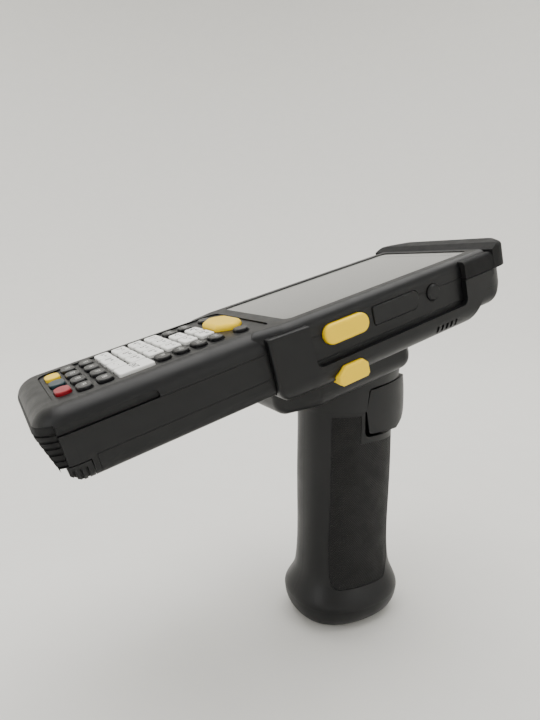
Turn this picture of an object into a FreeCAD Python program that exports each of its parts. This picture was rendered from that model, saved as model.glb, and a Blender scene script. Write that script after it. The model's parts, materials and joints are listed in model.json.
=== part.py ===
import FreeCAD, Part
import math
import os
import Sketcher

# Handheld data terminal: a keypad and a touch screen in one slim housing, held nose-up in a cradle
# sleeve on a pistol grip that stands on its own foot.
#
# Row frame: millimetres, +X forward (towards the head with the scan window), +Y to the device's left,
# +Z up.  The origin is on the flat underside of the foot, on the upright line that the grip is drawn about.
# Terminal frame: x runs from the keypad end to the head, z is up from the keypad deck (deck = 0).
# Terminal pieces are drawn in that frame and share one placement, tilted nose-up about Y.
# Grip pieces are drawn upright with z = 0 at foot_lift above the ground, and share one placement that
# lifts them by it.

doc = FreeCAD.newDocument("data_terminal")
sheet = doc.addObject("Spreadsheet::Sheet", "dims")

DIMENSIONS = {
    # placement of the terminal over the foot
    "nose_tilt": 15.58,
    "deck_x": -134.2,
    "deck_height": 118.4,
    # terminal housing
    "term_length": 205.5,
    "body_half": 33.0,
    "head_half": 35.0,
    "cap_half": 37.6,
    "head_start": 82.0,
    "deck_drop": 24.5,
    "side_seam": 7.7,
    "back_seam": 16.9,
    "heel_end": 14.7,
    "battery_end": 118.0,
    "wall": 2.0,
    "shoulder": 7.4,
    "head_shoulder": 4.5,
    "belly_round": 4.5,
    "seam_gap": 0.12,
    # keypad
    "panel_start": 9.0,
    "panel_end": 86.5,
    "panel_half_near": 21.9,
    "panel_half_far": 25.4,
    "panel_thick": 1.4,
    "panel_sink": 0.5,
    "first_row": 19.8,
    "row_pitch": 6.9,
    "column_pitch": 10.6,
    "colour_row": 13.4,
    "colour_pitch": 12.0,
    "scan_row": 77.8,
    "key_rise": 1.2,
    "key_skirt": 3.0,
    "key_gap": 0.25,
    "key_travel": 0.6,
    "latch_travel": 1.5,
    # screen
    "glass_start": 92.0,
    "glass_end": 187.0,
    "glass_half": 27.4,
    "glass_thick": 1.6,
    "glass_sink": 0.35,
    # head
    "rim_start": 190.0,
    "rim_rise": 1.7,
    # sleeve
    "sleeve_start": 78.5,
    "sleeve_end": 189.6,
    "sleeve_half": 37.6,
    "sleeve_clear": 0.3,
    "sleeve_top": 2.5,
    "window_start": 94.5,
    "window_end": 172.5,
    "window_sill": 18.8,
    "floor_low": 27.8,
    "saddle_low": 40.0,
    # side controls
    "side_key_x": 111.0,
    "side_key_long": 20.5,
    "side_key_high": 7.8,
    "side_key_z": 8.4,
    "side_travel": 0.8,
    "round_key_x": 156.2,
    "round_key_r": 3.4,
    "flap_start": 124.6,
    "flap_end": 148.0,
    "flap_top": 4.4,
    "flap_low": 12.6,
    # grip, in the row frame
    "grip_x": 2.5,
    "grip_deep": 22.6,
    "grip_wide": 17.2,
    "grip_top": 97.0,
    "grip_low": 7.0,
    "foot_lift": 3.0,
    "grip_wall": 2.2,
    "foot_deep": 26.8,
    "foot_wide": 23.0,
}

for number, (alias, value) in enumerate(DIMENSIONS.items(), start=1):
    sheet.set("A%d" % number, alias)
    sheet.set("B%d" % number, str(value))
    sheet.setAlias("B%d" % number, alias)
doc.recompute()


class Size:
    """A length that knows its value and the sheet expression that gives it."""

    def __init__(self, value, text):
        self.value = value
        self.text = text

    def joined(self, other, sign, swap=False):
        left, right = (as_size(other), self) if swap else (self, as_size(other))
        answers = {
            "+": lambda a, b: a + b,
            "-": lambda a, b: a - b,
            "*": lambda a, b: a * b,
            "/": lambda a, b: a / b,
        }
        return Size(answers[sign](left.value, right.value), "(%s %s %s)" % (left.text, sign, right.text))

    def __add__(self, other):
        return self.joined(other, "+")

    def __radd__(self, other):
        return self.joined(other, "+", True)

    def __sub__(self, other):
        return self.joined(other, "-")

    def __rsub__(self, other):
        return self.joined(other, "-", True)

    def __mul__(self, other):
        return self.joined(other, "*")

    def __rmul__(self, other):
        return self.joined(other, "*", True)

    def __truediv__(self, other):
        return self.joined(other, "/")

    def __neg__(self):
        return self.joined(-1, "*")


def as_size(thing):
    return thing if isinstance(thing, Size) else Size(float(thing), repr(float(thing)))


class Sizes:
    """The sheet's dimensions by name."""

    def __init__(self, names):
        for name in names:
            setattr(self, name, Size(float(getattr(sheet, name)), "dims." + name))


d = Sizes(DIMENSIONS)


def bind(thing, **sizes):
    """Tie properties of an object to the sheet; two underscores stand for a dot."""
    for name, size in sizes.items():
        thing.setExpression(name.replace("__", "."), as_size(size).text)


TILT = FreeCAD.Rotation(FreeCAD.Vector(0, 1, 0), -d.nose_tilt.value)
ON_TERMINAL = FreeCAD.Placement(FreeCAD.Vector(d.deck_x.value, 0, d.deck_height.value), TILT)
ON_FOOT = FreeCAD.Placement(FreeCAD.Vector(0, 0, d.foot_lift.value), FreeCAD.Rotation())
FOOT_TO_TERMINAL = ON_TERMINAL.inverse() * ON_FOOT

nodes = {}


def keep(label, thing, place=ON_TERMINAL):
    """Register a finished sub-part under its node name and put it in its place."""
    thing.Label = label
    thing.Placement = place
    nodes[label] = thing
    return thing


PLANES = {"z": ("XY_Plane", 2, 1), "y": ("XZ_Plane", 1, -1), "x": ("YZ_Plane", 0, 1)}


def flat_point(vector, along):
    """The two coordinates of a point that lie in the plane square to an axis."""
    return {"z": (vector.x, vector.y), "y": (vector.x, vector.z), "x": (vector.y, vector.z)}[along]


def is_lengthwise(edge, along, places):
    """Whether an edge runs along the axis and stands on one of the places."""
    if len(edge.Vertexes) != 2 or edge.Curve.TypeId != "Part::GeomLine":
        return False
    first = flat_point(edge.Vertexes[0].Point, along)
    last = flat_point(edge.Vertexes[1].Point, along)
    if math.dist(first, last) > 1e-5:
        return False
    return any(math.dist(first, place) < 1e-3 for place in places)


def is_level(edge, axis, height):
    spots = [vertex.Point for vertex in edge.Vertexes] + [edge.CenterOfMass]
    return all(abs(spot[axis] - height) < 1e-5 for spot in spots)


def prism(name, outline, low, high, corners=(), top=None, bottom=None, along="z"):
    """A body padded from a closed outline, between low and high along an axis.

    corners holds (radius, vertex numbers or None for all); top and bottom are the radii of the rims.
    """
    role, axis, sign = PLANES[along]
    low, high = as_size(low), as_size(high)
    body = doc.addObject("PartDesign::Body", name)
    ground = [f for f in body.Origin.OriginFeatures if f.Role == role][0]
    sketch = body.newObject("Sketcher::SketchObject", name + "_outline")
    sketch.AttachmentSupport = [(ground, "")]
    sketch.MapMode = "FlatFace"
    bind(sketch, AttachmentOffset__Base__z=low if sign > 0 else -high)
    outline = [(as_size(x), as_size(y)) for x, y in outline]
    places = [(x.value, y.value) for x, y in outline]
    count = len(places)
    for i, (x, y) in enumerate(places):
        next_x, next_y = places[(i + 1) % count]
        side = Part.LineSegment(FreeCAD.Vector(x, y, 0), FreeCAD.Vector(next_x, next_y, 0))
        sketch.addGeometry(side, False)
    for i in range(count):
        sketch.addConstraint(Sketcher.Constraint("Coincident", i, 2, (i + 1) % count, 1))
    for i, (x, y) in enumerate(outline):
        for way, size in (("DistanceX", x), ("DistanceY", y)):
            at = sketch.addConstraint(Sketcher.Constraint(way, -1, 1, i, 1, size.value))
            sketch.setExpression("Constraints[%d]" % at, size.text)
    pad = body.newObject("PartDesign::Pad", name + "_pad")
    pad.Profile = sketch
    bind(pad, Length=high - low)
    doc.recompute()
    tip = pad
    for turn, (radius, which) in enumerate(corners):
        wanted = places if which is None else [places[i] for i in which]
        names = ["Edge%d" % i for i, edge in enumerate(tip.Shape.Edges, start=1)
                 if is_lengthwise(edge, along, wanted)]
        tip = round_edges(body, tip, names, radius, "%s_corner%d" % (name, turn))
    for radius, level, word in ((top, high, "top"), (bottom, low, "low")):
        if radius is not None:
            names = ["Edge%d" % i for i, edge in enumerate(tip.Shape.Edges, start=1)
                     if is_level(edge, axis, level.value)]
            tip = round_edges(body, tip, names, radius, "%s_%s" % (name, word))
    return body


def round_edges(body, base, names, radius, name):
    fillet = body.newObject("PartDesign::Fillet", name)
    fillet.Base = (base, names)
    bind(fillet, Radius=radius)
    doc.recompute()
    return fillet


def block(name, x_low, x_high, y_low, y_high, z_low, z_high):
    """A plain box between six bound limits."""
    box = doc.addObject("Part::Box", name)
    bind(box, Length=as_size(x_high) - x_low, Width=as_size(y_high) - y_low, Height=as_size(z_high) - z_low,
         Placement__Base__x=x_low, Placement__Base__y=y_low, Placement__Base__z=z_low)
    return box


def rod(name, radius, length, x, y, z, along):
    """A round bar that starts at x, y, z and runs along the direction given."""
    bar = doc.addObject("Part::Cylinder", name)
    turn = FreeCAD.Rotation(FreeCAD.Vector(0, 0, 1), FreeCAD.Vector(*along))
    bar.Placement = FreeCAD.Placement(FreeCAD.Vector(0, 0, 0), turn)
    bind(bar, Radius=radius, Height=length,
         Placement__Base__x=x, Placement__Base__y=y, Placement__Base__z=z)
    return bar


def cut(name, base, *tools):
    """base less every tool."""
    less = doc.addObject("Part::Cut", name)
    less.Base = base
    less.Tool = tools[0] if len(tools) == 1 else fuse(name + "_tools", *tools)
    doc.recompute()
    return less


def fuse(name, *things):
    whole = doc.addObject("Part::MultiFuse", name)
    whole.Shapes = list(things)
    whole.Refine = True
    doc.recompute()
    return whole


def common(name, base, tool):
    shared = doc.addObject("Part::Common", name)
    shared.Base = base
    shared.Tool = tool
    doc.recompute()
    return shared


def plate(name, x_low, x_high, y_low, y_high, z_low, z_high, corner=None, top=None, bottom=None):
    """A rectangular plate with rounded corners and rims."""
    outline = [(x_low, y_low), (x_high, y_low), (x_high, y_high), (x_low, y_high)]
    corners = ((corner, None),) if corner else ()
    return prism(name, outline, z_low, z_high, corners, top, bottom)


def layer(name, z_low, z_high, x_low=-5, x_high=None):
    """A wide slab that picks one layer of the housing."""
    return block(name, x_low, d.term_length + 5 if x_high is None else x_high, -60, 60, z_low, z_high)


# ---------------------------------------------------------------- terminal housing
def envelope(name, inset=0.0):
    """The outer skin of the closed terminal, or the same skin moved inwards all round."""
    half = d.body_half - inset
    wide = d.head_half - inset
    low = -d.deck_drop + inset
    high = as_size(-inset)
    near = as_size(inset)
    far = d.term_length - inset
    keypad_half = prism(
        name + "_keypad",
        [(near, -half + 7), (near + 4.5, -half), (d.head_start + 12, -half),
         (d.head_start + 12, half), (near + 4.5, half), (near, half - 7)],
        low, high, ((9.5 - inset, (0, 1, 4, 5)),), d.shoulder - inset, d.belly_round - inset)
    screen_half = prism(
        name + "_screen",
        [(d.head_start - 8, -half + 2), (d.head_start + 4, -wide),
         (far - 9, -wide), (far, -wide + 12),
         (far, wide - 12), (far - 9, wide),
         (d.head_start + 4, wide), (d.head_start - 8, half - 2)],
        low, high, ((12 - inset, (2, 3, 4, 5)), (6, (1, 6))), d.head_shoulder - inset, d.belly_round - inset)
    return fuse(name, keypad_half, screen_half)


def side_strip_wells():
    """The long shallow recess along each flank, just above the side seam."""
    wells = []
    for word, y_low, y_high in (("right", -40, -d.body_half + 1.3), ("left", d.body_half - 1.3, 40)):
        low = -d.side_seam - d.seam_gap / 2
        wells.append(prism("strip_" + word, [(6.0, low), (38.5, low), (38.5, -4.9), (6.0, -4.9)],
                           y_low, y_high, ((1.4, (2,)),), along="y"))
    return fuse("side_strips", *wells)


def pill_outline(x, z, long, high):
    """Corners of a rounded bar centred at x, z in the flank plane."""
    return [(x - long / 2, z - high / 2), (x + long / 2, z - high / 2),
            (x + long / 2, z + high / 2), (x - long / 2, z + high / 2)]


def side_openings():
    """Openings in both flanks for the side keys, and in the right one for the round key and the flap."""
    slack = 2 * d.key_gap
    high = d.side_key_high + slack
    scan_keys = prism("scan_key_openings",
                      pill_outline(d.side_key_x, -d.side_key_z - 0.6, d.side_key_long + slack, high),
                      -45, 45, ((high / 2 - 0.05, None),), along="y")
    round_key = rod("round_key_opening", d.round_key_r + d.key_gap, 20,
                    d.round_key_x, -30, -d.side_key_z - 0.6, (0, -1, 0))
    flap = prism("flap_opening", flap_outline(d.key_gap), -45, -d.head_half + 1.6, ((1.2, None),), along="y")
    port = block("port_opening", d.flap_start + 4, d.flap_end - 8, -45, -30, -d.flap_low + 1.8, -d.flap_top - 2)
    return fuse("side_openings_all", scan_keys, round_key, flap, port)


def flap_outline(grow):
    """The port flap: an oblong with its forward corners cut."""
    near, far = d.flap_start - grow, d.flap_end + grow
    low, high = -d.flap_low - grow, -d.flap_top - 0.9 + grow
    return [(near, low), (far - 2, low), (far, low + 2), (far, high - 1.5), (far - 1.5, high), (near, high)]


NOSE_TOP = (204.4, -8.6)
NOSE_LOW = (189.6, -24.6)


def nose_wedge(name, back=0.0):
    """What the sloping face under the head takes away; back moves the face inwards."""
    (top_x, top_z), (low_x, low_z) = NOSE_TOP, NOSE_LOW
    return prism(
        name,
        [(low_x - back - 4.6, low_z - 5), (230, low_z - 5), (230, top_z),
         (top_x - back, top_z), (low_x - back, low_z)], -60, 60, along="y")


def heel_wedge(name, back=0.0):
    """What the sloping face under the keypad end takes away; back moves the face inwards."""
    return prism(
        name,
        [(-20, -6), (back, -6), (back + 3.6, -19), (back + 9.5, -24.6), (back + 13, -28), (-20, -28)],
        -60, 60, along="y")


def on_nose(thing, along_face, out):
    """Lay a flat piece drawn about the origin on the sloping face; out is its lift off the face."""
    (top_x, top_z), (low_x, low_z) = NOSE_TOP, NOSE_LOW
    run = FreeCAD.Vector(top_x - low_x, 0, top_z - low_z).normalize()
    normal = FreeCAD.Vector(-run.z, 0, run.x) * -1
    spot = FreeCAD.Vector(low_x, 0, low_z) + run * along_face + normal * out
    turn = FreeCAD.Rotation(run, FreeCAD.Vector(0, 1, 0), normal, "ZXY")
    thing.Placement = FreeCAD.Placement(spot, turn)
    return thing


def scan_opening(name):
    opening = plate(name, -5.2, 5.2, -18.2, 18.2, -6, 6, 2)
    return on_nose(opening, 12.0, 0)


def ribbed(bumper):
    """Cut the grip ribs into the rubber end: shallow grooves one above another."""
    grooves = []
    for i in range(6):
        z = -17.6 + 2.1 * i
        ring = cut("rib_ring%d" % i, block("rib_slab%d" % i, -5, 7, -60, 60, z, z + 0.8),
                   envelope_section(i))
        grooves.append(ring)
    return cut("end_bumper_ribs", bumper, *grooves)


def envelope_section(i):
    """The end's outline drawn in by the depth of a rib groove."""
    depth = 0.55
    half = d.body_half - depth
    return prism("rib_core%d" % i,
                 [(depth, -half + 7), (depth + 4.5, -half), (40, -half), (40, half), (depth + 4.5, half),
                  (depth, half - 7)], -25, 1, ((9.5 - depth, (0, 1, 4, 5)),))


def head_cap(gap):
    """The raised rubber cap round the head, with a ramp down to the glass."""
    near, far, half = d.rim_start + gap, d.term_length, d.cap_half
    outline = [(near, -half), (far - 8, -half), (far, -half + 11),
               (far, half - 11), (far - 8, half), (near, half)]
    cap = prism("cap_block", outline, -d.side_seam - 0.8, d.rim_rise, ((9, (1, 2, 3, 4)),), 2.0)
    ramp = prism(
        "cap_ramp",
        [(near - 1, -0.3), (near, -0.3), (near + 4.5, d.rim_rise + 0.01), (near + 4.5, 6), (near - 1, 6)],
        -60, 60, along="y")
    room = plate("cap_room", near - 5, far - 4, -half + 4, half - 4, -20, -2.2, 6)
    side_lap = plate("cap_lap", near - 5, far - 9, -half + 2.2, half - 2.2, -20, -4.5, 3)
    shell = cut("head_cap", cap, ramp, room, side_lap)
    arms = []
    for word, sign in (("right", -1), ("left", 1)):
        inner, outer = 31 * sign, (half - 0.1) * sign
        arms.append(prism("cap_arm_" + word, [(inner, -d.side_seam - 0.7), (outer, -d.side_seam - 0.7),
                                              (outer, -1.2), (inner, -1.2)],
                          d.window_end + 0.5, near + 3.3, ((2.0, (2,)),), along="x"))
    hugging = cut("cap_arms", fuse("cap_arm_bars", *arms), envelope("cap_arm_room", -0.12))
    return fuse("cap_with_arms", shell, hugging)


def latch_bar(skin):
    """The battery release: a bar across the heel with finger ribs at both ends."""
    slack = 0.3
    zone = block("latch_zone", 3.6 + slack + d.latch_travel, 12.9 - slack, -60, 60,
                 -d.deck_drop - 2, -d.back_seam - 0.8 - slack)
    bar = common("latch_bar_skin", skin, zone)
    grooves = [block("latch_groove%d" % i, 6.4 + 1.9 * i, 7.2 + 1.9 * i, -60, 60, -d.deck_drop - 2,
                     -d.back_seam - 2.4) for i in range(3)]
    core = block("latch_core", 0, 20, -d.body_half + 2.2, d.body_half - 2.2, -d.deck_drop + 1.0, 0)
    rims = fuse("latch_rims", *[cut("latch_rim%d" % i, groove, core) for i, groove in enumerate(grooves)])
    return cut("latch_ribs", bar, rims)


def housings():
    """Front housing, middle shell, rear cover, battery pack and the two rubber ends."""
    gap = d.seam_gap
    skin = cut("skin_cut", envelope("skin"), nose_wedge("nose_face"), heel_wedge("heel_face"))
    inside = cut("inside_cut", envelope("inside", d.wall), nose_wedge("nose_inside", d.wall.value),
                 heel_wedge("heel_inside", d.wall.value))
    hollow = common("hollow", inside, block("hollow_zone", 5.8, d.term_length, -60, 60, -60, 60))
    lining = cut("lining_cut", envelope("lining", 1.6), heel_wedge("heel_lining", 1.6))

    panel_well = prism(
        "panel_well",
        [(d.panel_start - gap, -d.panel_half_near - gap), (d.panel_end + gap, -d.panel_half_far - gap),
         (d.panel_end + gap, d.panel_half_far + gap), (d.panel_start - gap, d.panel_half_near + gap)],
        -d.panel_sink - d.panel_thick, 1, ((4, None),))
    key_opening = plate("key_opening", d.panel_start + 1.2, d.panel_end - 1.2,
                        -d.panel_half_near + 0.6, d.panel_half_near - 0.6, -6, 1, 3)
    glass_well = plate("glass_well", d.glass_start - gap, d.glass_end + gap, -d.glass_half - gap,
                       d.glass_half + gap, -d.glass_sink - d.glass_thick, 1, 3)
    glass_opening = plate("glass_opening", d.glass_start + 2.5, d.glass_end - 2.5, -d.glass_half + 2,
                          d.glass_half - 2, -6, 1, 2)

    heel_low = -d.back_seam - 0.5
    heel_zone = block("heel_zone", -5, 6.0, -60, 60, heel_low, -4.2)
    cap_clear = block("cap_clear", d.rim_start - gap, d.term_length + 5, -60, 60, -d.side_seam - 0.9, 5)
    heel_clear = cut("heel_clear", block("heel_reach", -5, 6.0 + gap, -60, 60, heel_low - gap,
                                         -4.2 + gap), lining)

    front_zone = layer("front_zone", -d.side_seam, 2)
    front_skin = common("front_skin", skin, front_zone)
    strips = side_strip_wells()
    openings = side_openings()
    keep("front_housing", cut("front_housing_cut", front_skin, hollow, panel_well, key_opening, glass_well,
                              glass_opening, cap_clear, heel_clear, strips, openings))

    middle_zone = fuse("middle_zone", layer("middle_layer", -d.back_seam, -d.side_seam - gap),
                       layer("heel_layer", -d.deck_drop - 2, -d.side_seam - gap, -5, d.heel_end))
    middle_skin = common("middle_skin", skin, middle_zone)
    latch_slot = block("latch_slot", 3.6, 12.9, -60, 60, -d.deck_drop - 2, -d.back_seam - 0.8)
    keep("rear_housing", cut("rear_housing_cut", middle_skin, hollow, heel_clear, latch_slot, strips,
                             cap_clear, openings, scan_opening("scan_opening_high")))

    back_zone = layer("back_zone", -d.deck_drop - 2, -d.back_seam - gap,
                      d.heel_end + gap, d.battery_end - gap)
    keep("battery_pack", common("battery_pack_cut", skin, back_zone))
    cover_zone = layer("cover_zone", -d.deck_drop - 2, -d.back_seam - gap, d.battery_end, d.term_length + 5)
    keep("rear_cover", cut("rear_cover_cut", common("rear_cover_skin", skin, cover_zone), hollow,
                           scan_opening("scan_opening_low")))
    keep("end_bumper", ribbed(cut("end_bumper_cut", common("end_skin", skin, heel_zone), lining)))
    keep("head_bumper", head_cap(gap))
    keep("battery_latch", latch_bar(skin))


# ---------------------------------------------------------------- keypad and screen
def keypad():
    """The bezel plate, the keys in their slots, the silicone mat and the key board below."""
    slots = []
    groups = {}
    for label, shape, centre, size in key_plan():
        slots.append(shape("slot_%s_%d" % (label, len(slots)), centre, size, True))
        cap = shape("cap_%s_%d" % (label, len(slots)), centre, size, False)
        groups.setdefault(label, []).append(cap)
    for label, caps in groups.items():
        keep(label, caps[0] if len(caps) == 1 else fuse(label + "_group", *caps))
    bezel = prism(
        "bezel_plate",
        [(d.panel_start, -d.panel_half_near), (d.panel_end, -d.panel_half_far),
         (d.panel_end, d.panel_half_far), (d.panel_start, d.panel_half_near)],
        -d.panel_sink - d.panel_thick, -d.panel_sink, ((4, None),), 0.3)
    keep("keypad_bezel", cut("bezel_cut", bezel, *slots))
    mat_top = -d.panel_sink - d.panel_thick - d.key_skirt
    keep("keymat", plate("keymat_plate", d.panel_start + 3, d.panel_end - 3, -d.panel_half_near + 2.4,
                         d.panel_half_near - 2.4, mat_top - 2.2, mat_top - 0.8, 2.5))
    keep("key_board", plate("key_board_plate", d.panel_start + 2.4, d.panel_end + 2, -d.panel_half_near + 1.8,
                            d.panel_half_near - 1.8, mat_top - 3.6, mat_top - 2.4, 2))


def rounded_key(name, centre, size, slot):
    """A key with rounded ends, or the slot that it moves in."""
    (x, y), (long_x, long_y) = centre, size
    grow = d.key_gap if slot else as_size(0)
    radius = 0.48 * min(as_size(long_x).value, as_size(long_y).value)
    low = -6 if slot else -d.panel_sink - d.panel_thick - d.key_skirt
    high = 3 if slot else -d.panel_sink + d.key_rise
    return plate(name, x - long_x / 2 - grow, x + long_x / 2 + grow, y - long_y / 2 - grow,
                 y + long_y / 2 + grow, low, high, radius, None if slot else 0.45)


def square_key(name, centre, size, slot):
    """A number key: an oblong with small corner rounds."""
    (x, y), (long_x, long_y) = centre, size
    grow = d.key_gap if slot else as_size(0)
    low = -6 if slot else -d.panel_sink - d.panel_thick - d.key_skirt
    high = 3 if slot else -d.panel_sink + d.key_rise
    return plate(name, x - long_x / 2 - grow, x + long_x / 2 + grow, y - long_y / 2 - grow,
                 y + long_y / 2 + grow, low, high, 1.1, None if slot else 0.5)


def hexagon_key(name, centre, size, slot):
    """The large domed scan key: a stretched hexagon with soft corners."""
    (x, y), (long_x, long_y) = centre, size
    grow = d.key_gap if slot else as_size(0)
    near, far = x - long_x / 2 - grow, x + long_x / 2 + grow
    reach = long_y / 2 + grow
    flat = long_y * 0.27
    low = -6 if slot else -d.panel_sink - d.panel_thick - d.key_skirt
    high = 3 if slot else -d.panel_sink + d.key_rise + 1.2
    return prism(name, [(near, -flat), (x, -reach), (far, -flat), (far, flat), (x, reach), (near, flat)],
                 low, high, ((3.2, (1, 4)), (4.0, (0, 2, 3, 5))), None if slot else 1.8)


def column(place):
    """Column centres counted from the middle of the keypad; the device's left is positive."""
    return d.column_pitch * place


def row(place):
    return d.first_row + d.row_pitch * place


def key_plan():
    """Every key: its node, its shape, its centre and its size."""
    plan = []
    for place, colour in zip((1, 0, -1), ("yellow", "blue", "red")):
        plan.append((colour + "_key", rounded_key, (d.colour_row, d.colour_pitch * place), (5.2, 8.6)))
    for line, label in ((0, "soft_keys_first_row"), (1, "soft_keys_second_row")):
        for place in (1.5, 0.5, -0.5, -1.5):
            plan.append((label, rounded_key, (row(line), column(place)), (4.9, 8.2)))
    for line in (2, 3, 4, 5):
        for place, word in ((1.5, "a"), (0.5, "b"), (-0.5, "c")):
            plan.append(("number_key_%d%s" % (line - 1, word), square_key, (row(line), column(place)),
                         (5.7, 9.5)))
    plan.append(("enter_key", square_key, (row(2.5), column(-1.5)), (12.6, 9.5)))
    for line in (6, 7):
        for place, word in ((0.5, "b"), (-0.5, "c")):
            plan.append(("number_key_%d%s" % (line - 1, word), square_key, (row(line), column(place)),
                         (5.4, 8.9)))
    for line, places in ((4, (-1.5,)), (5, (-1.5,)), (6, (1.5, -1.5)), (7, (1.5, -1.5))):
        for place in places:
            plan.append(("soft_keys_sides", rounded_key, (row(line), column(place)), (4.9, 8.2)))
    for side in (1, -1):
        plan.append(("soft_keys_sides", rounded_key, (d.scan_row, 17.4 * side), (5.0, 6.6)))
    plan.append(("scan_key", hexagon_key, (d.scan_row + 0.2, 0), (11.4, 26.4)))
    return plan


def screen():
    """Cover glass, display module, main board and the scan engine behind its window."""
    glass_low = -d.glass_sink - d.glass_thick
    keep("display_glass", plate("glass_plate", d.glass_start, d.glass_end, -d.glass_half, d.glass_half,
                                glass_low + 0.1, -d.glass_sink, 3, 0.3))
    keep("display_module", plate("module_plate", d.glass_start + 3, d.glass_end - 3, -d.glass_half + 2.5,
                                 d.glass_half - 2.5, glass_low - 3.4, glass_low - 0.1, 1.5))
    keep("main_board", plate("board_plate", d.glass_start - 2, d.glass_end - 6, -d.head_half + 7,
                             d.head_half - 7, -12.6, -11.2, 2))
    engine = plate("engine_block", -4.4, 4.4, -11, 11, -10.5, -2.6, 1)
    keep("scan_engine", on_nose(engine, 12.0, 0), ON_TERMINAL * engine.Placement)
    window = plate("window_plate", -5.0, 5.0, -18, 18, -1.6, -0.1, 1.9, 0.2)
    keep("scan_window", on_nose(window, 12.0, 0), ON_TERMINAL * window.Placement)


def side_controls():
    """The two long scan keys, the round key and the hinged port flap."""
    key_z = -d.side_key_z - 0.6
    high = d.side_key_high
    for word, sign in (("right", -1), ("left", 1)):
        face = sign * (d.head_half + 2.2)
        back = sign * (d.head_half - 3.4)
        low, top = (face, back) if sign < 0 else (back, face)
        outline = pill_outline(d.side_key_x, key_z, d.side_key_long, high)
        rims = {"bottom": 1.2} if sign < 0 else {"top": 1.2}
        keep(word + "_scan_key", prism(word + "_pill", outline, low, top, ((high / 2 - 0.05, None),),
                                       along="y", **rims))
    button = rod("round_button", d.round_key_r, 4.6, d.round_key_x, -d.head_half + 3.4, key_z, (0, -1, 0))
    crown = doc.addObject("Part::Chamfer", "round_button_crown")
    crown.Base = button
    doc.recompute()
    rim = [i for i, edge in enumerate(button.Shape.Edges, start=1)
           if is_level(edge, 1, -d.head_half.value - 1.2)]
    crown.Edges = [(i, 0.7, 0.7) for i in rim]
    doc.recompute()
    keep("round_side_key", crown)
    flap = prism("flap_plate", flap_outline(0.0), -d.head_half - 0.5, -d.head_half + 1.4, ((1.0, None),),
                 bottom=0.35, along="y")
    plug = block("flap_plug", d.flap_start + 4.4, d.flap_end - 8.4, -d.head_half + 1.4, -d.head_half + 3.0,
                 -d.flap_low + 2.2, -d.flap_top - 2.4)
    keep("port_flap", fuse("flap_with_plug", flap, plug))


# ---------------------------------------------------------------- sleeve
# Speaker slots along the sleeve's lower edge.
VENT_COUNT = 5
VENT_START = 153.5
VENT_PITCH = 2.6
VENT_WIDE = 1.2


def sleeve():
    """The cradle: a floor with low walls and corner posts, a saddle and a collar over the grip."""
    outer = d.sleeve_half
    floor_top = -d.deck_drop - d.sleeve_clear
    shell = prism(
        "sleeve_block",
        [(d.sleeve_start, -outer + 1.8), (d.window_start, -outer), (d.sleeve_end, -outer),
         (d.sleeve_end, outer), (d.window_start, outer), (d.sleeve_start, outer - 1.8)],
        -d.floor_low, -d.sleeve_top, ((20, (1, 4)), (1.5, (0, 5))), 0.7, 6.5)
    tongue = plate("sleeve_tongue", d.sleeve_start - 12, d.sleeve_start + 20, -22, 22, -d.floor_low,
                   floor_top, 9, None, 1.4)
    saddle = prism(
        "saddle_block",
        [(84, -18), (100, -26), (146, -26), (151, -21), (151, 21), (146, 26), (100, 26), (84, 18)],
        -d.saddle_low, floor_top, ((5, None),), None, 6)
    cradle = envelope("cradle_room", -d.sleeve_clear.value)
    above_cap = block("front_post_trim", d.window_end - 0.1, d.term_length, -60, 60,
                      -d.side_seam - 0.95, 12)
    windows = prism(
        "window_cut",
        [(d.window_start, -d.window_sill), (d.window_end, -d.window_sill), (d.window_end, 8),
         (d.window_start, 8)], -60, 60, ((3.0, (0, 1)),), along="y")
    nose = nose_wedge("sleeve_nose", 13.0)
    outside = cut("sleeve_nose_cut", fuse("sleeve_outside", shell, tongue, saddle, collar()), nose)
    room_for_grip = grip_room("sleeve_grip_room")
    latches = fuse("latch_wells", *[latch_well(word, sign) for word, sign in (("right", -1), ("left", 1))])
    vents = []
    for i in range(VENT_COUNT):
        x = VENT_START + VENT_PITCH * i
        vents.append(block("vent%d" % i, x, x + VENT_WIDE, -60, 60, -25.6, -22.8))
    vent_core = block("vent_core", 140, 180, -outer + 2.6, outer - 2.6, -40, 0)
    vent_cuts = cut("vent_cuts", fuse("vents", *vents), vent_core)
    keep("sleeve", cut("sleeve_cut", outside, cradle, above_cap, windows, room_for_grip, latches, vent_cuts,
                       sleeve_screw_group("sleeve_screw_holes")))


def collar():
    """The oval skirt under the saddle that the grip plugs into, upright in the row frame."""
    skirt = oval_loft("collar_skirt", ((97.2, 2.3, 23.2, 17.9),
                                       (103.0, 2.0, 24.2, 18.8),
                                       (121.0, 1.6, 26.5, 21.0)))
    (near_x, near_z), (far_x, far_z) = BROW
    mouth = prism(
        "collar_mouth",
        [(near_x, 90), (60, 90), (60, far_z + 4.6), (far_x, far_z), (near_x, near_z)],
        -60, 60, ((2.0, (4,)),), along="y")
    upright = cut("collar_upright", skirt, mouth)
    lifted = doc.addObject("Part::Compound", "collar_lifted")
    lifted.Links = [upright]
    lifted.Placement = FOOT_TO_TERMINAL
    doc.recompute()
    above = block("above_collar", 40, 220, -60, 60, -d.saddle_low + 3, 60)
    return cut("collar_cut", lifted, above)


def grip_room(name):
    """The socket in the collar and saddle for the spigot at the grip's top."""
    socket = spigot(name + "_socket", 1.6, 90, 122)
    socket.Placement = FOOT_TO_TERMINAL
    roof = block(name + "_roof", 40, 220, -60, 60, -d.saddle_low + 2, 60)
    return cut(name, socket, roof)


def spigot(name, inset, low=94.0, high=105.5):
    """The narrower neck at the grip's top, or the socket for it."""
    mid, deep, wide = d.grip_x.value, d.grip_deep.value - inset, d.grip_wide.value - inset
    return oval_loft(name, ((low, mid, deep, wide), (high, mid, deep, wide)))


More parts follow.
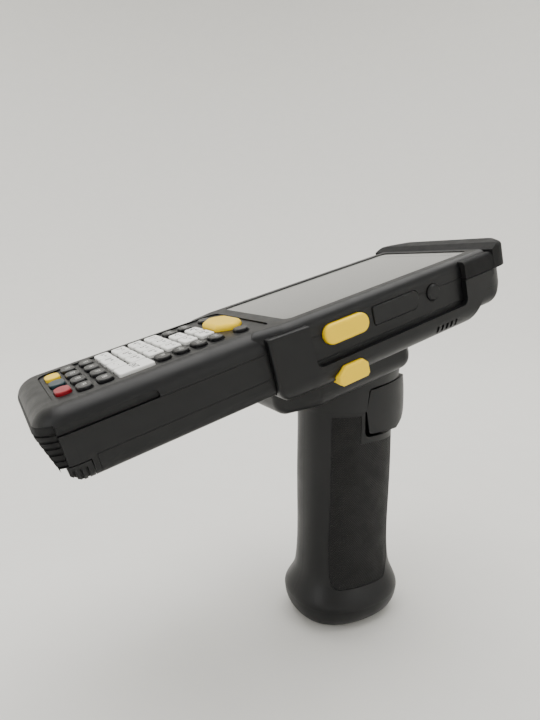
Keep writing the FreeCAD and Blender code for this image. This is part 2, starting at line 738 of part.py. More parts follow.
def latch_well(word, sign):
    """The opening in the sleeve's lower edge for a release latch and its root."""
    face = span(sign, d.sleeve_half - 2.6, 60)
    opening = prism("latch_well_" + word, latch_outline(0.3), *face, along="y")
    root = block("latch_root_well_" + word, 102.7, 114.3, *span(sign, 31.2, 37), -28.6, -25.3)
    return fuse("latch_room_" + word, opening, root)


def span(sign, inner, outer):
    """A range across the device, on its left for a positive sign and on its right for a negative one."""
    return (inner, outer) if sign > 0 else (-as_size(outer), -as_size(inner))


def latch_outline(grow):
    """The yellow release latch: an oblong with its top corners cut."""
    near, far = 101.6 - grow, 115.4 + grow
    low, high = -28.6 - grow, -21.4 + grow
    return [(near + 1.2, low), (far - 1.2, low), (far, low + 1.2), (far, high - 2), (far - 2, high),
            (near + 3.6, high), (near, high - 3.0), (near, low + 1.2)]


def latches():
    for word, sign in (("right", -1), ("left", 1)):
        rims = {"bottom": 0.8} if sign < 0 else {"top": 0.8}
        face = span(sign, d.sleeve_half - 1.5, d.sleeve_half + 1.8)
        button = prism("latch_" + word, latch_outline(0.0), *face, along="y", **rims)
        root = block("latch_root_" + word, 103, 114, *span(sign, 32.4, 36.4), -28.3, -25.6)
        keep("sleeve_latch_" + word, fuse("latch_with_root_" + word, button, root))


def oval_wire(z, centre, deep, wide, power=2.35, count=28):
    """A closed superellipse at height z."""
    points = []
    for i in range(count):
        turn = 2 * math.pi * i / count
        x = math.copysign(abs(math.cos(turn)) ** (2 / power), math.cos(turn))
        y = math.copysign(abs(math.sin(turn)) ** (2 / power), math.sin(turn))
        points.append(FreeCAD.Vector(centre + deep * x, wide * y, z))
    curve = Part.BSplineCurve()
    curve.interpolate(Points=points, PeriodicFlag=True)
    return Part.Wire([curve.toShape()])


def oval_loft(name, sections, ruled=False):
    """A solid through oval sections, each (height, centre, half depth, half width)."""
    feature = doc.addObject("Part::Feature", name)
    feature.Shape = Part.makeLoft([oval_wire(*section) for section in sections], True, ruled)
    return feature


# ---------------------------------------------------------------- pistol grip
# The grip's foot end widens: height over its lower edge, middle, and how much deeper and wider it is.
FLARE = (
    (0.0, 2.1, 4.2, 5.8),
    (3.0, 2.1, 4.1, 5.6),
    (9.0, 2.4, 1.6, 2.2),
    (16.0, 2.5, 0.1, 0.2),
)


def grip_sections(inset=0.0, top=None):
    """Oval sections of the grip from the foot up, drawn in by inset."""
    low, high = d.grip_low.value, d.grip_top.value if top is None else top
    mid, deep, wide = d.grip_x.value, d.grip_deep.value - inset, d.grip_wide.value - inset
    flared = [(low + up, centre, deep + deeper, wide + wider) for up, centre, deeper, wider in FLARE]
    straight = [(low + 45, mid, deep - 0.3, wide - 0.2), (high - 14, mid, deep - 0.2, wide),
                (high, mid, deep, wide)]
    return flared + straight


def grip():
    """Two grip halves with a wall all round, side inserts, battery, and the well for the trigger."""
    skin = fuse("grip_skin", oval_loft("grip_outside", grip_sections()), spigot("grip_neck", 1.9))
    hollow = oval_loft("grip_hollow", grip_sections(d.grip_wall.value, 93.0))
    shell = cut("grip_shell_all", skin, hollow, trigger_well())
    floor_plug = common("grip_floor", oval_loft("floor_reach", grip_sections(0.7)),
                        block("grip_floor_zone", -40, 40, -40, 40, d.grip_low + 0.1, d.grip_low + 2.4))
    boss = block("trigger_boss", -1.0, 17.2, -8.6, 8.6, d.grip_top - 20, d.grip_top + 8.4)
    low_reach = oval_loft("bridge_low_reach", grip_sections(0.8))
    reach = fuse("bridge_reach", low_reach, spigot("bridge_neck", 2.2))
    bridge = common("trigger_bridge", reach,
                    block("bridge_zone", -3.4, 0.4, -30, 30, d.grip_top - 20.5, d.grip_top + 8.3))
    pivot_hole = rod("pivot_hole", 1.52, 40, PIVOT[0], -20, PIVOT[1], (0, 1, 0))
    whole = cut("grip_whole", fuse("grip_fused", shell, floor_plug, boss, bridge), pivot_hole,
                switch_pocket(), grip_screw_group("grip_screw_holes"))
    for word, sign in (("right", -1), ("left", 1)):
        side = block("grip_side_" + word, -60, 60, *span(sign, 0.03, 60), -5, 140)
        half = common("grip_half_" + word, whole, side)
        recess = insert_zone("insert_recess_" + word, sign, 0.15)
        core = oval_loft("insert_core_" + word, grip_sections(1.0))
        well = cut("insert_well_" + word, recess, core)
        keep("grip_shell_" + word, cut("grip_cut_" + word, half, well), ON_FOOT)
        pad_core = oval_loft("pad_core_" + word, grip_sections(0.9))
        pad_skin = oval_loft("pad_skin_" + word, grip_sections(0.12))
        pad = common("insert_skin_" + word, pad_skin, insert_zone("insert_zone_" + word, sign, 0.0))
        keep("grip_insert_" + word, cut("insert_cut_" + word, pad, pad_core), ON_FOOT)
    cell = plate("grip_cell", -15, 17, -11, 11, d.grip_low + 5, d.grip_low + 62, 9, 1, 1)
    keep("grip_battery", cell, ON_FOOT)


def insert_zone(name, sign, grow):
    """Where a textured side insert lies: the flank of the grip ahead of its thumb rest."""
    low = d.grip_low + 9 - grow
    return prism(name, [(-14 - grow, low), (14, low), (19 + grow, low + 7), (19 + grow, 82.4 + grow),
                        (-1.4 + grow, 82.4 + grow), (-1.4 + grow, 95 + grow), (-14 - grow, 95 + grow)],
                 *span(sign, 4, 60), ((3.4, (0,)), (6, (1, 2))), along="y")


PIVOT = (14.0, 103.0)
SWITCH = (9.6, 84.6)
TRIGGER_LOW = 86.5
BROW = [(0.7, 107.6), (27.5, 111.4)]


def trigger_outline(grow=0.0):
    """Side view of the trigger: from its hinge down the finger face to the lip and back under it."""
    return [(3.5, TRIGGER_LOW), (20.5, TRIGGER_LOW), (25.6 + grow, 90.0 - grow), (30.0 + grow, 96.0),
            (29.4 + grow, 99.5), (26.4 + grow, 110.3), (3.4, 105.9), (1.5, 97.0)]


def trigger_oval(name, inset=0.0):
    """The plan of the trigger: the grip's own oval, drawn out forwards."""
    return oval_loft(name, ((80.0, 5.0, 27.2 - inset, 16.9 - inset),
                            (98.0, 5.4, 27.2 - inset, 17.0 - inset),
                            (112.0, 4.6, 27.2 - inset, 16.9 - inset)))


def trigger_well():
    """The front of the grip is open for the trigger, its cheeks and their swing."""
    return prism("trigger_opening",
                 [(0.6, 85.2), (40, 85.2), (40, 130), (0.6, 130)], -60, 60, ((3.0, (0,)),), along="y")


def switch_pocket():
    """Room for the switch behind the trigger, open towards it."""
    x, z = SWITCH
    return block("switch_pocket", x - 3.2, x + 12, -4.2, 4.2, z - 5.2, z + 5.2)


def trigger_set():
    """Trigger, finger pad, hinge pin, return spring and switch."""
    block_shape = common("trigger_block", prism("trigger_profile", trigger_outline(), -22, 22,
                                                ((3.0, (2,)), (1.6, (3,)), (1.2, (0, 7))), along="y"),
                         trigger_oval("trigger_plan"))
    inside = common("trigger_inside", prism("trigger_room", [(-5, 70), (18.5, 70), (22.0, 90), (24.6, 98),
                                                             (21.4, 120), (-5, 120)], -22, 22, along="y"),
                    trigger_oval("trigger_inside_plan", 2.4))
    bore = rod("trigger_bore", 1.55, 26.8, PIVOT[0], -13.4, PIVOT[1], (0, 1, 0))
    boss_bar = rod("boss_bar", 3.4, 40, PIVOT[0], -20, PIVOT[1], (0, 1, 0))
    bosses = cut("trigger_bosses", common("boss_in_oval", boss_bar, trigger_oval("boss_plan", 1.0)),
                 block("boss_gap", -5, 40, -8.9, 8.9, 60, 130))
    shell = fuse("trigger_shell", cut("trigger_hollowed", block_shape, inside), bosses)
    keep("trigger", cut("trigger_cut", shell, bore, trigger_strip(0.12)), ON_FOOT)
    keep("trigger_pad", common("trigger_pad_cut", trigger_strip(0.0), trigger_front()), ON_FOOT)
    shaft = rod("pin_bar", 1.5, 30.0, PIVOT[0], -15.0, PIVOT[1], (0, 1, 0))
    between = block("pin_length", PIVOT[0] - 3, PIVOT[0] + 3, -13.0, 13.0, PIVOT[1] - 3, PIVOT[1] + 3)
    keep("trigger_pin", common("pin_round", shaft, between), ON_FOOT)
    case = plate("switch_case", SWITCH[0] - 3.0, SWITCH[0] + 7.0, -4, 4, SWITCH[1] - 5, SWITCH[1] + 5, 0.5)
    keep("trigger_switch", case, ON_FOOT)
    keep("trigger_spring", coil("return_spring"), ON_FOOT)


def trigger_strip(grow):
    """The narrow finger pad let into the front of the trigger."""
    reach = 6.4 + grow
    return prism("pad_strip%d" % round(100 * grow),
                 [(27.6 - grow, 97.5 - grow), (36, 97.5 - grow),
                  (31.4, 109.0 + grow), (25.0 - grow, 109.0 + grow)], -reach, reach, along="y")


def trigger_front():
    """The finger face that the pad stands a little proud of."""
    face = prism("trigger_face", trigger_outline(0.5), -30, 30, ((3.0, (2,)), (1.6, (3,))), along="y")
    return common("trigger_face_cut", face, trigger_oval("trigger_face_plan", -0.5))


def coil(name):
    """The return spring as a closed tube of its outer shape, between the boss and the trigger."""
    outer = rod(name + "_out", 2.4, 4.4, 17.4, 0, 96.0, (1, 0, 0))
    inner = rod(name + "_in", 1.5, 4.4, 17.4, 0, 96.0, (1, 0, 0))
    return cut(name, outer, inner)


# ---------------------------------------------------------------- foot and screws
SCREW_X = (-13, 18)    # the two upright screws through the foot
FOOT_MID = 2.1         # middle of the foot cap where it meets the grip
SOLE_MID = 1.4         # middle of the sole


def foot():
    """The flared foot cap and the rubber sole that the whole device stands on."""
    deep, wide = d.foot_deep.value, d.foot_wide.value
    ground, top = -d.foot_lift.value, d.grip_low.value - 0.08
    flange = oval_loft("foot_flange", ((ground + 1.6, SOLE_MID, deep - 4.2, wide - 4.1),
                                       (ground + 4.0, 1.8, deep - 2.0, wide - 1.8),
                                       (ground + 7.0, 2.0, deep - 0.6, wide - 0.5),
                                       (top, FOOT_MID, deep, wide)))
    scoop = oval_loft("foot_scoop", ((ground - 1.0, SOLE_MID, deep - 5.4, wide - 5.3),
                                     (ground + 4.0, SOLE_MID, deep - 5.4, wide - 5.3)))
    screw_wells = [rod("foot_screw_well%d" % i, 2.8, 8.0, x, 0.0, ground - 1, (0, 0, 1))
                   for i, x in enumerate(SCREW_X)]
    screw_ways = [rod("foot_screw_way%d" % i, 1.35, 20, x, 0.0, ground, (0, 0, 1))
                  for i, x in enumerate(SCREW_X)]
    keep("foot_cap", cut("foot_cap_cut", flange, scoop, *screw_wells, *screw_ways), ON_FOOT)
    sole = oval_loft("sole_skin", ((ground, SOLE_MID, deep - 6.4, wide - 6.3),
                                   (ground + 0.8, SOLE_MID, deep - 5.6, wide - 5.5),
                                   (ground + 3.95, SOLE_MID, deep - 5.6, wide - 5.5)), True)
    keep("foot_pad", sole, ON_FOOT)


def screw_group(name, places, head_low, head_radius, shank_radius, head_height, shank_length):
    """Identical upright screws with their heads down."""
    group = []
    for i, (x, y) in enumerate(places):
        head = rod("%s_head%d" % (name, i), head_radius, head_height, x, y, head_low, (0, 0, 1))
        shank = rod("%s_shank%d" % (name, i), shank_radius, shank_length, x, y, head_low, (0, 0, 1))
        group.append(fuse("%s%d" % (name, i), head, shank))
    return fuse(name, *group)


def sleeve_screw_group(name):
    places = ((97.0, -15), (97.0, 15), (146.0, -14), (146.0, 14))
    return screw_group(name, places, -d.saddle_low + 0.25, 2.4, 1.1, 1.4, 8.0)


def grip_screw_group(name):
    return screw_group(name, [(x, 0.0) for x in SCREW_X], d.grip_low - 4.6, 2.6, 1.2, 1.5, 7.0)


def screws():
    """Sleeve screws up into the saddle, and grip screws up through the foot."""
    keep("sleeve_screws", sleeve_screw_group("sleeve_screw_set"))
    keep("grip_screws", grip_screw_group("grip_screw_set"), ON_FOOT)


def check_document():
    doc.recompute()
    for thing in doc.Objects:
        bad = [state for state in thing.State if state in ("Invalid", "Error")]
        if bad:
            raise RuntimeError("%s: %s" % (thing.Name, bad))
    for label, thing in nodes.items():
        if thing.Shape.isNull() or not thing.Shape.isValid() or thing.Shape.Volume < 0.5:
            raise RuntimeError("bad shape: " + label)


def export_parts():
    os.makedirs("parts", exist_ok=True)
    for label, thing in nodes.items():
        thing.Shape.exportStep("parts/%s.step" % label)


housings()
keypad()
screen()
side_controls()
sleeve()
latches()
grip()
trigger_set()
foot()
screws()
check_document()
export_parts()
print(len(nodes), "nodes")
for label, thing in nodes.items():
    box = thing.Shape.BoundBox
    print("%-22s %d solid, %9.1f mm3, x %.1f..%.1f y %.1f..%.1f z %.1f..%.1f" % (
        label, len(thing.Shape.Solids), thing.Shape.Volume, box.XMin, box.XMax, box.YMin, box.YMax, box.ZMin,
        box.ZMax))
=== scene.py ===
import json
import math

import bmesh
import bpy
from mathutils import Matrix, Vector

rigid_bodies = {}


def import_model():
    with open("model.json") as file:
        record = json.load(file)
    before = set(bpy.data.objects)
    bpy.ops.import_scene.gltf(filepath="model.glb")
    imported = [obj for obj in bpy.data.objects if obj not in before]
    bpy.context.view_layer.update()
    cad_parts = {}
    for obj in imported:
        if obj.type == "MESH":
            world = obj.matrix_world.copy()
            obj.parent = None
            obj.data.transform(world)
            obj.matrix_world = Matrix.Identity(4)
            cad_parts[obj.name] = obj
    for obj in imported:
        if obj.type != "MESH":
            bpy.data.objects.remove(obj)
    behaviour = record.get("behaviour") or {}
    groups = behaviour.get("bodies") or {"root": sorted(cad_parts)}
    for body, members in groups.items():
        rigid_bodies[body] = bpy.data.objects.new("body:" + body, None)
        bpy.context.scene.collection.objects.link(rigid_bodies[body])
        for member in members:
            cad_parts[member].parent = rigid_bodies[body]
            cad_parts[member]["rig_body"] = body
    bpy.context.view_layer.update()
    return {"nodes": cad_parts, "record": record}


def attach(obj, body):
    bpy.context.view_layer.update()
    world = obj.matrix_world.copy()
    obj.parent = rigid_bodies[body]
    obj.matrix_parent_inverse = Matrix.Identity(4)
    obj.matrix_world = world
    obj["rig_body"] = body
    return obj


# Looks of the data terminal: materials for every CAD node, printed key legends, the border printed on
# the screen's glass, and a pale studio with soft light.
# Terminal frame: x from the keypad end to the head, y to the device's left, z up from the keypad deck.

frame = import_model()
nodes = frame["nodes"]
MM = 0.001

TILT = math.radians(15.58)
DECK = Vector((-134.2, 0.0, 118.4)) * MM
TERMINAL = Matrix.Translation(DECK) @ Matrix.Rotation(-TILT, 4, "Y")


# ---------------------------------------------------------------- materials
class Nodes:
    """A short way to wire a material's nodes, with its texture space fixed to the object."""

    def __init__(self, name):
        self.material = bpy.data.materials.new(name)
        self.material.use_nodes = True
        self.tree = self.material.node_tree
        self.shader = self.tree.nodes["Principled BSDF"]
        self.place = self.add("ShaderNodeTexCoord").outputs["Object"]

    def add(self, kind, **values):
        node = self.tree.nodes.new(kind)
        for key, value in values.items():
            setattr(node, key, value)
        return node

    def link(self, source, target):
        self.tree.links.new(source, target)

    def set(self, **values):
        for key, value in values.items():
            self.shader.inputs[key.replace("_", " ")].default_value = value

    def noise(self, scale, detail=4.0, rough=0.55):
        node = self.add("ShaderNodeTexNoise")
        node.inputs["Scale"].default_value = scale
        node.inputs["Detail"].default_value = detail
        node.inputs["Roughness"].default_value = rough
        self.link(self.place, node.inputs["Vector"])
        return node.outputs["Fac"]

    def spread(self, value, low, high, start=0.3, end=0.7):
        node = self.add("ShaderNodeMapRange")
        for key, number in (("From Min", start), ("From Max", end), ("To Min", low), ("To Max", high)):
            node.inputs[key].default_value = number
        self.link(value, node.inputs["Value"])
        return node.outputs["Result"]

    def tint(self, value, dark, light):
        node = self.add("ShaderNodeMix", data_type="RGBA")
        node.inputs["A"].default_value = (*dark, 1)
        node.inputs["B"].default_value = (*light, 1)
        self.link(value, node.inputs["Factor"])
        self.link(node.outputs["Result"], self.shader.inputs["Base Color"])

    def bump(self, height, strength, distance, after=None):
        node = self.add("ShaderNodeBump")
        node.inputs["Strength"].default_value = strength
        node.inputs["Distance"].default_value = distance
        self.link(height, node.inputs["Height"])
        if after is not None:
            self.link(after, node.inputs["Normal"])
        return node.outputs["Normal"]

    def finish(self, normal):
        self.link(normal, self.shader.inputs["Normal"])
        return self.material


def shade(colour, factor):
    """A colour made darker or lighter."""
    return tuple(min(1.0, part * factor) for part in colour)


def moulded(name, colour, rough, grain=2600.0, depth=0.00006, strength=0.35, spread=0.12, vary=0.12,
            gleam=0.3):
    """Moulded plastic: fine spark-eroded grain and slow changes of tint and gloss from handling."""
    m = Nodes(name)
    m.tint(m.spread(m.noise(38.0, 6.0), 0.0, 1.0), shade(colour, 1 - vary), shade(colour, 1 + vary))
    gloss = m.spread(m.noise(120.0, 5.0, 0.6), rough - spread / 2, rough + spread / 2)
    m.link(gloss, m.shader.inputs["Roughness"])
    m.set(Specular_IOR_Level=gleam)
    fine = m.bump(m.noise(grain, 2.0, 0.5), strength, depth)
    return m.finish(m.bump(m.noise(95.0, 3.0), 0.06, 0.0003, fine))


def rubber(name, colour, rough):
    """Soft-touch rubber: duller than the shells, with a trace of velvety sheen."""
    m = Nodes(name)
    m.tint(m.spread(m.noise(60.0, 6.0), 0.0, 1.0), shade(colour, 0.85), shade(colour, 1.25))
    m.link(m.spread(m.noise(210.0, 5.0, 0.6), rough - 0.06, rough + 0.08), m.shader.inputs["Roughness"])
    m.set(Sheen_Weight=0.02, Sheen_Roughness=0.5, Specular_IOR_Level=0.2)
    return m.finish(m.bump(m.noise(3800.0, 2.0), 0.4, 0.00005))


def diamond_rubber(name, colour, rough, pitch):
    """The grip inserts: two sets of fine slanting ridges that cross into small diamonds."""
    m = Nodes(name)
    m.tint(m.spread(m.noise(60.0, 6.0), 0.0, 1.0), shade(colour, 0.85), shade(colour, 1.2))
    m.link(m.spread(m.noise(160.0, 4.0), rough - 0.06, rough + 0.08), m.shader.inputs["Roughness"])
    split = m.add("ShaderNodeSeparateXYZ")
    m.link(m.place, split.inputs["Vector"])
    ridges = []
    for sign in ("ADD", "SUBTRACT"):
        across = m.add("ShaderNodeMath", operation=sign)
        m.link(split.outputs["X"], across.inputs[0])
        m.link(split.outputs["Z"], across.inputs[1])
        turns = m.add("ShaderNodeMath", operation="MULTIPLY")
        m.link(across.outputs[0], turns.inputs[0])
        turns.inputs[1].default_value = 2 * math.pi / pitch
        wave = m.add("ShaderNodeMath", operation="SINE")
        m.link(turns.outputs[0], wave.inputs[0])
        ridges.append(wave.outputs[0])
    total = m.add("ShaderNodeMath", operation="ADD")
    m.link(ridges[0], total.inputs[0])
    m.link(ridges[1], total.inputs[1])
    m.set(Specular_IOR_Level=0.25)
    weave = m.bump(m.spread(total.outputs[0], 0.0, 1.0, -1.2, 1.4), 0.75, 0.00022)
    return m.finish(m.bump(m.noise(3800.0, 2.0), 0.3, 0.00005, weave))


def glass_like(name, colour, rough, coat=1.0):
    """Dark cover glass: a smooth gloss with faint smears that only the reflection shows."""
    m = Nodes(name)
    m.tint(m.spread(m.noise(22.0, 5.0), 0.0, 1.0), shade(colour, 0.92), shade(colour, 1.08))
    m.link(m.spread(m.noise(46.0, 6.0, 0.65), rough, rough + 0.05), m.shader.inputs["Roughness"])
    m.set(IOR=1.52, Specular_IOR_Level=0.6, Coat_Weight=coat, Coat_Roughness=0.03)
    return m.finish(m.bump(m.noise(18.0, 2.0), 0.015, 0.0004))


def metal(name, colour, rough, along=(1.0, 1.0, 9.0)):
    """Turned steel or drawn aluminium: streaks along one way."""
    m = Nodes(name)
    stretch = m.add("ShaderNodeMapping")
    stretch.inputs["Scale"].default_value = along
    m.link(m.place, stretch.inputs["Vector"])
    m.place = stretch.outputs["Vector"]
    m.tint(m.spread(m.noise(420.0, 5.0), 0.0, 1.0), shade(colour, 0.85), shade(colour, 1.1))
    m.link(m.spread(m.noise(640.0, 5.0), rough - 0.08, rough + 0.1), m.shader.inputs["Roughness"])
    m.set(Metallic=1.0)
    return m.finish(m.bump(m.noise(900.0, 3.0), 0.2, 0.00004))


BLACK = (0.0042, 0.0044, 0.0050)
YELLOW = (0.93, 0.62, 0.008)
WHITE = (0.88, 0.88, 0.86)

LOOKS = {
    "housing_black": moulded("housing_black", BLACK, 0.42),
    "sleeve_black": moulded("sleeve_black", shade(BLACK, 0.95), 0.40),
    "grip_black": moulded("grip_black", BLACK, 0.38, 2200.0),
    "rubber_black": rubber("rubber_black", (0.0046, 0.0046, 0.0050), 0.66),
    "grip_insert": diamond_rubber("grip_insert", (0.0046, 0.0047, 0.0050), 0.58, 1.2 * MM),
    "key_white": moulded("key_white", WHITE, 0.36, 3000.0, 0.00003, 0.2, 0.08, 0.03),
    "key_black": moulded("key_black", (0.010, 0.010, 0.011), 0.34, 3000.0, 0.00003, 0.2, 0.08),
    "key_yellow": moulded("key_yellow", YELLOW, 0.36, 2400.0, 0.00004, 0.25, 0.10, 0.05),
    "key_blue": moulded("key_blue", (0.010, 0.030, 0.038), 0.36, 3000.0, 0.00003, 0.2, 0.08),
    "key_red": moulded("key_red", (0.26, 0.006, 0.014), 0.36, 3000.0, 0.00003, 0.2, 0.08),
    "cover_glass": glass_like("cover_glass", (0.030, 0.031, 0.031), 0.10),
    "window_red": glass_like("window_red", (0.05, 0.006, 0.009), 0.06),
    "display_dark": moulded("display_dark", (0.02, 0.02, 0.022), 0.3),
    "board_green": moulded("board_green", (0.02, 0.09, 0.04), 0.5),
    "silicone_grey": rubber("silicone_grey", (0.10, 0.10, 0.11), 0.6),
    "steel": metal("steel", (0.55, 0.55, 0.56), 0.32),
    "cell": metal("cell", (0.45, 0.45, 0.47), 0.42, (1.0, 6.0, 1.0)),
}
INK_DARK = moulded("ink_dark", (0.03, 0.03, 0.035), 0.5, 1500.0, 0.00001, 0.1)
INK_LIGHT = moulded("ink_light", (0.62, 0.62, 0.60), 0.5, 1500.0, 0.00001, 0.1)
SLOT_OF = {entry["node"]: entry["material_slot"] for entry in frame["record"]["subparts"]}


def dress_nodes():
    """Give every CAD node the look of its material slot; the grip inserts get the diamond pattern."""
    for name, node in nodes.items():
        look = "grip_insert" if name.startswith("grip_insert") else SLOT_OF[name]
        node.data.materials.clear()
        node.data.materials.append(LOOKS[look])


# ---------------------------------------------------------------- pieces
ROOT = "terminal_and_grip"


def piece(name, mesh, material, body, place):
    """A Blender piece in its place in the row frame, riding on a body."""
    mesh.transform(place)
    made = bpy.data.objects.new(name, mesh)
    made.data.materials.clear()
    made.data.materials.append(material)
    bpy.context.scene.collection.objects.link(made)
    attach(made, body)
    return made


def rounded(half_x, half_y, radius, steps=6):
    """Outline of a rounded rectangle about the origin."""
    points = []
    for turn, (sx, sy) in enumerate(((1, 1), (-1, 1), (-1, -1), (1, -1))):
        for i in range(steps + 1):
            angle = math.pi / 2 * (turn + i / steps)
            points.append((sx * (half_x - radius) + radius * math.cos(angle),
                           sy * (half_y - radius) + radius * math.sin(angle)))
    return points


def text_mesh(words, height, thick=0.03 * MM):
    """Printed letters as a very thin solid, upright towards the head and centred on the origin."""
    curve = bpy.data.curves.new("letters", "FONT")
    curve.body = words
    curve.size = height / 0.72
    curve.align_x, curve.align_y = "CENTER", "CENTER"
    curve.extrude = thick / 2
    curve.resolution_u = 3
    holder = bpy.data.objects.new("letters", curve)
    bpy.context.scene.collection.objects.link(holder)
    bpy.context.view_layer.update()
    mesh = bpy.data.meshes.new_from_object(holder.evaluated_get(bpy.context.evaluated_depsgraph_get()))
    bpy.data.objects.remove(holder)
    mesh.transform(Matrix.Rotation(-math.pi / 2, 4, "Z"))
    return mesh


def key_top(node):
    """Centre of a node's box seen from above, in the terminal frame, and the height of its top."""
    inverse = TERMINAL.inverted()
    spots = [inverse @ v.co for v in nodes[node].data.vertices]
    low = Vector(min(s[i] for s in spots) for i in range(3))
    high = Vector(max(s[i] for s in spots) for i in range(3))
    return (low + high) / 2, high.z


NUMBER_LEGENDS = {
    "4a": "1", "4b": "2", "4c": "3", "3a": "4", "3b": "5", "3c": "6",
    "2a": "7", "2b": "8", "2c": "9", "1a": "+", "1b": "0", "1c": "-",
    "5b": "<", "5c": ">", "6b": "A", "6c": "B",
}
PRINT_LIFT = 0.02 * MM      # print stands this far off its key
NUMBER_TALL = 2.7 * MM
SMALL_TALL = 1.2 * MM
ENTER_TALL = 2.5 * MM
SOFT_TALL = 1.8 * MM


def legend(name, node, words, height, ink, shift_x=0.0, shift_y=0.0, at=None):
    """A printed legend that rides with its key, over the key's middle or over a place given by at."""
    centre, high = key_top(node)
    x, y = (centre.x, centre.y) if at is None else at
    spot = Matrix.Translation((x + shift_x, y + shift_y, high + PRINT_LIFT))
    return piece(name, text_mesh(words, height), ink, nodes[node]["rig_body"], TERMINAL @ spot)


def number_legends():
    """A large legend in the left half of each number key and a small one in the right half."""
    for key, words in NUMBER_LEGENDS.items():
        node = "number_key_" + key
        legend("legend_" + key, node, words, NUMBER_TALL, INK_DARK, shift_x=-0.2 * MM, shift_y=1.6 * MM)
        legend("small_legend_" + key, node, words + "-" + words, SMALL_TALL, INK_DARK,
               shift_x=0.5 * MM, shift_y=-1.9 * MM)
    legend("legend_enter", "enter_key", "ENT", ENTER_TALL, INK_DARK)


# The grid of the black keys: rows go towards the head, columns go across.
FIRST_ROW = 19.8 * MM
ROW_PITCH = 6.9 * MM
COLUMN_PITCH = 10.6 * MM
COLUMNS = (1.5, 0.5, -0.5, -1.5)
SIDE_KEYS = ((4, -1.5), (5, -1.5), (6, 1.5), (6, -1.5), (7, 1.5), (7, -1.5))


def soft_key_legends():
    """Small light legends on the black keys."""
    places = [("soft_keys_first_row", 0, column) for column in COLUMNS]
    places += [("soft_keys_second_row", 1, column) for column in COLUMNS]
    places += [("soft_keys_sides", line, column) for line, column in SIDE_KEYS]
    for number, (node, line, column) in enumerate(places, start=1):
        spot = (FIRST_ROW + ROW_PITCH * line, COLUMN_PITCH * column)
        legend("soft_legend_%d" % number, node, "F%d" % number, SOFT_TALL, INK_LIGHT, at=spot)


def ring_mesh(outer, inner, thick):
    """A flat frame between two outlines with the same number of points."""
    bm = bmesh.new()
    rows = [[bm.verts.new((x, y, z)) for x, y in outline]
            for outline, z in ((outer, 0), (outer, thick), (inner, thick), (inner, 0))]
    count = len(outer)
    for i in range(count):
        ahead = (i + 1) % count
        for first, second in zip(rows, rows[1:] + rows[:1]):
            bm.faces.new((first[i], first[ahead], second[ahead], second[i]))
    bmesh.ops.recalc_face_normals(bm, faces=bm.faces)
    mesh = bpy.data.meshes.new("ring")
    bm.to_mesh(mesh)
    bm.free()
    return mesh


GLASS_INSET = 0.35 * MM     # the printed border starts this far inside the glass
GLASS_CORNER = 2.6 * MM
# Width of the light grey ring round the glass, a painted highlight along the glass's edge.
HIGHLIGHT_WIDE = 0.3 * MM
PICTURE_END = 5.5 * MM      # width of the border at the ends of the picture, and along its sides
PICTURE_SIDE = 2.6 * MM
PICTURE_CORNER = 0.8 * MM
BORDER_THICK = 0.02 * MM
# Thickness of the light grey ring that paints the highlight along the glass's edge.
HIGHLIGHT_THICK = 0.03 * MM


def screen_border():
    """The black printed border round the picture area, and a light grey ring round the glass that is a painted
    highlight along its edge.
    """
    centre, high = key_top("display_glass")
    inverse = TERMINAL.inverted()
    spots = [inverse @ v.co for v in nodes["display_glass"].data.vertices]
    half_x = (max(s.x for s in spots) - min(s.x for s in spots)) / 2 - GLASS_INSET
    half_y = (max(s.y for s in spots) - min(s.y for s in spots)) / 2 - GLASS_INSET
    outline = rounded(half_x, half_y, GLASS_CORNER)
    picture = rounded(half_x - PICTURE_END, half_y - PICTURE_SIDE, PICTURE_CORNER)
    highlight_outline = rounded(half_x + HIGHLIGHT_WIDE, half_y + HIGHLIGHT_WIDE, GLASS_CORNER + HIGHLIGHT_WIDE)
    spot = TERMINAL @ Matrix.Translation((centre.x, centre.y, high + 0.01 * MM))
    highlight_spot = spot @ Matrix.Translation((0, 0, -BORDER_THICK))
    border = ring_mesh(outline, picture, BORDER_THICK)
    border_look = glass_like("border_black", (0.012, 0.012, 0.013), 0.10)
    piece("screen_border", border, border_look, ROOT, spot)
    # A light grey ring just outside the glass: a painted highlight along the glass's edge.
    highlight_ring = ring_mesh(highlight_outline, outline, HIGHLIGHT_THICK)
    highlight_look = moulded("painted_highlight_grey", (0.16, 0.16, 0.165), 0.3)
    piece("screen_painted_highlight", highlight_ring, highlight_look, ROOT, highlight_spot)


# ---------------------------------------------------------------- studio
PAPER = (0.78, 0.775, 0.75)
FLOOR_FLAT = 0.9     # metres: radius of the flat floor, radius of the sweep, top of the wall
FLOOR_BEND = 1.3
WALL_TOP = 3.2
BEND_STEPS = 12
FLOOR_TURNS = 96


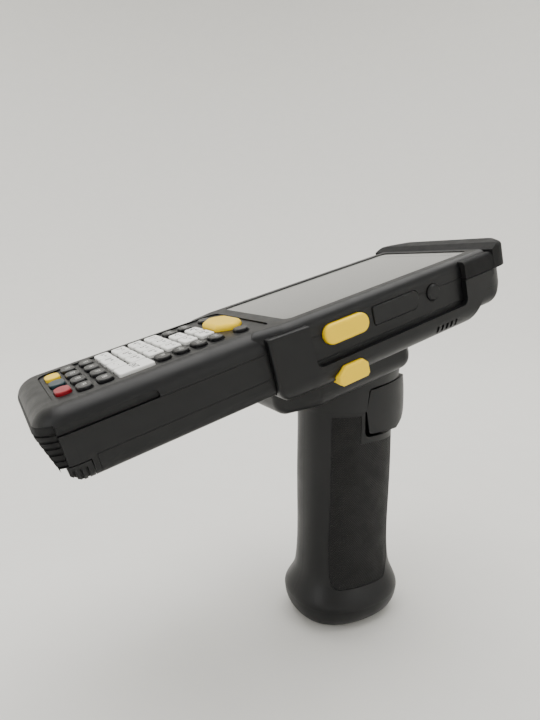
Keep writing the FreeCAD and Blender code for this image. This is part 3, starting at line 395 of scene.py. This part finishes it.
def studio():
    """A pale seamless bowl round the object: flat floor, swept up into a wall on every side."""
    profile = [(FLOOR_FLAT, 0.0)]
    for i in range(1, BEND_STEPS + 1):
        angle = math.pi / 2 * i / BEND_STEPS
        profile.append((FLOOR_FLAT + FLOOR_BEND * math.sin(angle), FLOOR_BEND * (1 - math.cos(angle))))
    profile.append((FLOOR_FLAT + FLOOR_BEND, WALL_TOP))
    bm = bmesh.new()
    turns = [2 * math.pi * i / FLOOR_TURNS for i in range(FLOOR_TURNS)]
    rings = [[bm.verts.new((r * math.cos(turn), r * math.sin(turn), z)) for turn in turns] for r, z in profile]
    middle = bm.verts.new((0, 0, 0))
    for i in range(FLOOR_TURNS):
        bm.faces.new((middle, rings[0][i], rings[0][(i + 1) % FLOOR_TURNS]))
    for low, high in zip(rings, rings[1:]):
        for i in range(FLOOR_TURNS):
            ahead = (i + 1) % FLOOR_TURNS
            bm.faces.new((low[i], low[ahead], high[ahead], high[i]))
    bmesh.ops.recalc_face_normals(bm, faces=bm.faces)
    for face in bm.faces:
        inwards = Vector((0, 0, 1.2)) - face.calc_center_median()
        if face.normal.dot(inwards) < 0:
            face.normal_flip()
    mesh = bpy.data.meshes.new("studio_floor")
    bm.to_mesh(mesh)
    bm.free()
    for face in mesh.polygons:
        face.use_smooth = True
    floor = bpy.data.objects.new("studio_floor", mesh)
    bpy.context.scene.collection.objects.link(floor)
    mesh.materials.append(moulded("paper", PAPER, 0.75, 900.0, 0.00002, 0.1, 0.05, 0.01))


# Soft area lights: name, place, size, watts and colour.  All point at the middle of the object.
LAMPS = (
    ("ceiling", (0.1, 0.3, 1.9), (2.2, 2.0), 58, (1.0, 0.985, 0.955)),
    ("window_left", (-1.3, -0.4, 0.9), (0.9, 1.2), 5, (0.97, 0.98, 1.0)),
    ("front_fill", (0.5, -1.4, 0.8), (1.2, 0.8), 3, (1.0, 1.0, 1.0)),
)
LAMP_AIM = Vector((0.0, 0.0, 0.1))
ROOM_COLOUR = (0.93, 0.93, 0.92, 1)
ROOM_STRENGTH = 0.42


def lamp(name, place, size, power, colour):
    data = bpy.data.lights.new(name, "AREA")
    data.shape = "RECTANGLE"
    data.size, data.size_y = size
    data.energy = power
    data.color = colour
    holder = bpy.data.objects.new(name, data)
    holder.location = place
    holder.rotation_euler = (LAMP_AIM - Vector(place)).to_track_quat("-Z", "Y").to_euler()
    bpy.context.scene.collection.objects.link(holder)


def lights():
    """The area lights and an even glow from the room."""
    for entry in LAMPS:
        lamp(*entry)
    world = bpy.data.worlds.new("room")
    world.use_nodes = True
    glow = world.node_tree.nodes["Background"]
    glow.inputs["Color"].default_value = ROOM_COLOUR
    glow.inputs["Strength"].default_value = ROOM_STRENGTH
    bpy.context.scene.world = world


# The camera looks from the keypad end's right, a little above the deck.
CAMERA_PLACE = Vector((-0.1459, -0.1953, 0.1619))
CAMERA_RIGHT = Vector((0.8737, -0.4864, 0.0))
CAMERA_AHEAD = Vector((0.4793, 0.8610, -0.1700))
LENS_MM = 27.05


def camera():
    """A level camera set up from its place, its view direction and its rightward direction."""
    ahead = CAMERA_AHEAD.normalized()
    up = CAMERA_RIGHT.cross(ahead).normalized()
    right = ahead.cross(up).normalized()
    turn = Matrix((right, up, -ahead)).transposed().to_4x4()
    data = bpy.data.cameras.new("camera")
    data.lens = LENS_MM
    data.sensor_width = 36.0
    data.clip_start = 0.01
    holder = bpy.data.objects.new("camera", data)
    holder.matrix_world = Matrix.Translation(CAMERA_PLACE) @ turn
    bpy.context.scene.collection.objects.link(holder)
    bpy.context.scene.camera = holder


dress_nodes()
number_legends()
soft_key_legends()
screen_border()
studio()
lights()
camera()
